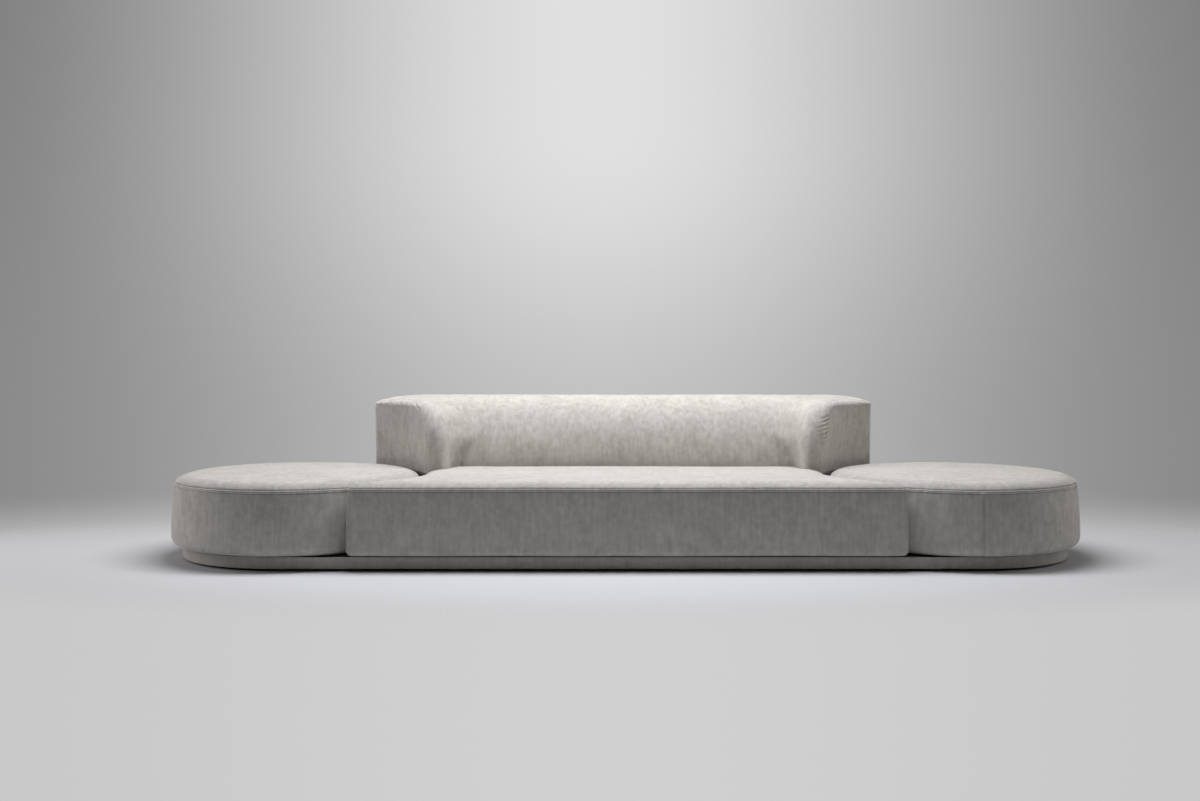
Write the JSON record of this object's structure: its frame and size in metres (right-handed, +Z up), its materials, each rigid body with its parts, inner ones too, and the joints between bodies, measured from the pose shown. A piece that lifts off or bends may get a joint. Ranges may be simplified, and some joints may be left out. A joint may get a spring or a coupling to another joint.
{
  "type": "swivel sofa",
  "caption": "Long low upholstered sofa on a plinth with round ends: fixed centre seat with a winged back, and a round seat that turns on a bearing at each end.",
  "frame": {"origin": "on the floor, midway between the two swivel axes, at the middle of the sofa's footprint", "axes": "+X to the right as seen from the front, along the sofa; -Y towards a person who stands in front of it; +Z up"},
  "size_m": [4.4098, 1.2, 0.76],
  "materials": {
    "upholstery": "matte",
    "plinth_fabric": "matte",
    "foam": "matte",
    "webbing": "matte",
    "plywood": "satin",
    "steel": "satin",
    "glide_plastic": "matte"
  },
  "bodies": {
    "base": {"plinth_deck_left": "plywood", "plinth_deck_right": "plywood", "plinth_front_rail_left": "plywood", "plinth_front_rail_right": "plywood", "plinth_rear_rail_left": "plywood", "plinth_rear_rail_right": "plywood", "plinth_front_arc_left": "plywood", "plinth_front_arc_right": "plywood", "plinth_rear_arc_left": "plywood", "plinth_rear_arc_right": "plywood", "plinth_ribs_left": "plywood", "plinth_ribs_right": "plywood", "plinth_cover_left": "plinth_fabric", "plinth_cover_right": "plinth_fabric", "glides": "glide_plastic", "glide_screws": "steel", "plinth_join_bolts": "steel", "seat_bolts": "steel", "back_screws": "steel", "seat_front_rail": "plywood", "seat_rear_rail": "plywood", "seat_ribs": "plywood", "seat_end_board_left": "plywood", "seat_end_board_right": "plywood", "back_ribs": "plywood", "back_wing_board_left": "plywood", "back_wing_board_right": "plywood", "back_top_board": "plywood", "back_rear_panel": "plywood", "seat_webbing": "webbing", "back_webbing": "webbing", "seat_foam": "foam", "back_foam": "foam", "seat_cover": "upholstery", "back_cover": "upholstery", "left_lower_bearing_plate": "steel", "right_lower_bearing_plate": "steel", "left_bearing_balls": "steel", "right_bearing_balls": "steel", "left_lower_plate_screws": "steel", "right_lower_plate_screws": "steel", "left_pivot_bolt": "steel", "right_pivot_bolt": "steel"},
    "left_pouf": {"left_upper_bearing_plate": "steel", "left_upper_plate_screws": "steel", "left_pouf_base_board": "plywood", "left_pouf_top_board": "plywood", "left_pouf_drum": "plywood", "left_pouf_ribs": "plywood", "left_pouf_foam": "foam", "left_pouf_cover": "upholstery"},
    "right_pouf": {"right_upper_bearing_plate": "steel", "right_upper_plate_screws": "steel", "right_pouf_base_board": "plywood", "right_pouf_top_board": "plywood", "right_pouf_drum": "plywood", "right_pouf_ribs": "plywood", "right_pouf_foam": "foam", "right_pouf_cover": "upholstery"}
  },
  "joints": [
    {"name": "left_pouf_swivel", "type": "hinge", "parent": "base", "child": "left_pouf", "pos_m": [-1.605, 0, 0.068], "axis": [0, 0, 1], "continuous": true},
    {"name": "right_pouf_swivel", "type": "hinge", "parent": "base", "child": "right_pouf", "pos_m": [1.605, 0, 0.068], "axis": [0, 0, 1], "continuous": true}
  ]
}
